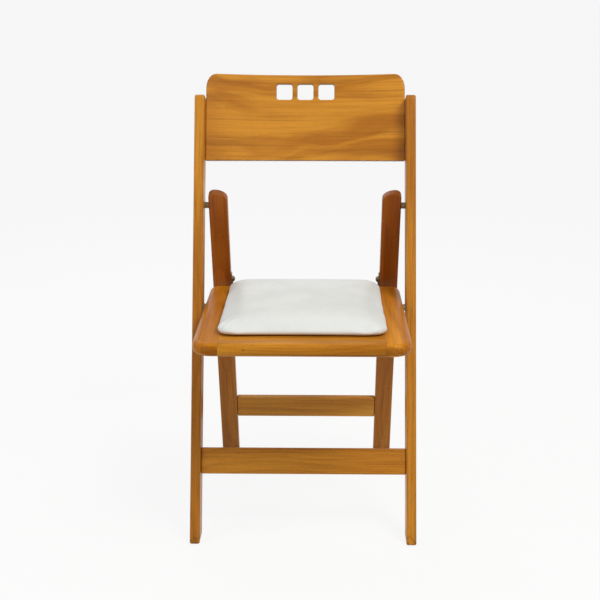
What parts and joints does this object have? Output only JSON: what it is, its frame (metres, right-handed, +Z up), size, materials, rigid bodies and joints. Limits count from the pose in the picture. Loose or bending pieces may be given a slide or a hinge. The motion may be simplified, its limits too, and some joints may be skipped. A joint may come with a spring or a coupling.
{
  "type": "folding chair",
  "caption": "Honey-coloured wooden folding chair with a bent plywood back pierced by square windows and a white padded seat.",
  "frame": {"origin": "on the floor, under the middle of the open chair's box", "axes": "+Z up, -Y the way the sitter faces, +X to the right of someone looking at the chair's front"},
  "size_m": [0.43, 0.5988, 0.8556],
  "materials": {
    "wood": "glossy honey lacquer over straight-grained wood",
    "ply": "glossy honey lacquer over cross-grained bent plywood",
    "vinyl": "smooth white vinyl with a soft sheen",
    "steel": "plated and darkened with age, satin",
    "plastic": "matt moulded"
  },
  "bodies": {
    "frame": {"stile_left": "wood", "stile_right": "wood", "front_rail": "wood", "backrest_panel": "ply", "back_screw_lower_left": "steel", "back_screw_upper_left": "steel", "back_screw_lower_right": "steel", "back_screw_upper_right": "steel", "leg_pivot_bolt_left": "steel", "leg_pivot_bolt_right": "steel", "leg_pivot_spacer_left": "steel", "leg_pivot_spacer_right": "steel", "seat_pivot_bolt_left": "steel", "seat_pivot_bolt_right": "steel", "seat_pivot_spacer_left": "steel", "seat_pivot_spacer_right": "steel", "front_glide_left": "plastic", "front_glide_right": "plastic"},
    "rear_frame": {"rear_leg_left": "wood", "rear_leg_right": "wood", "rear_rail": "wood", "leg_pivot_bush_left": "steel", "leg_pivot_bush_right": "steel", "guide_plate_left": "steel", "guide_plate_right": "steel", "plate_screw_upper_left": "steel", "plate_screw_lower_left": "steel", "plate_screw_upper_right": "steel", "plate_screw_lower_right": "steel", "rear_glide_left": "plastic", "rear_glide_right": "plastic"},
    "seat": {"seat_board": "wood", "seat_side_left": "wood", "seat_side_right": "wood", "cushion_base": "ply", "seat_cushion": "vinyl", "cushion_screw_front_left": "steel", "cushion_screw_front_right": "steel", "cushion_screw_rear_right": "steel", "cushion_screw_rear_left": "steel", "seat_pivot_bush_left": "steel", "seat_pivot_bush_right": "steel", "slide_bracket_left": "steel", "slide_bracket_right": "steel", "slide_pin_left": "steel", "slide_pin_right": "steel", "bracket_screw_front_left": "steel", "bracket_screw_rear_left": "steel", "bracket_screw_front_right": "steel", "bracket_screw_rear_right": "steel"}
  },
  "joints": [
    {"name": "seat_fold", "type": "hinge", "parent": "frame", "child": "seat", "pos_m": [0, -0.01542, 0.42565], "axis": [-1, 0, 0], "range_deg": [0, 109]},
    {"name": "rear_leg_fold", "type": "hinge", "parent": "frame", "child": "rear_frame", "pos_m": [0, 0.07035, 0.6087], "axis": [-1, 0, 0], "range_deg": [0, 39.01]}
  ],
  "couplings": [
    {"joint": "rear_leg_fold", "follows": "seat_fold", "ratio": 0.3578}
  ]
}
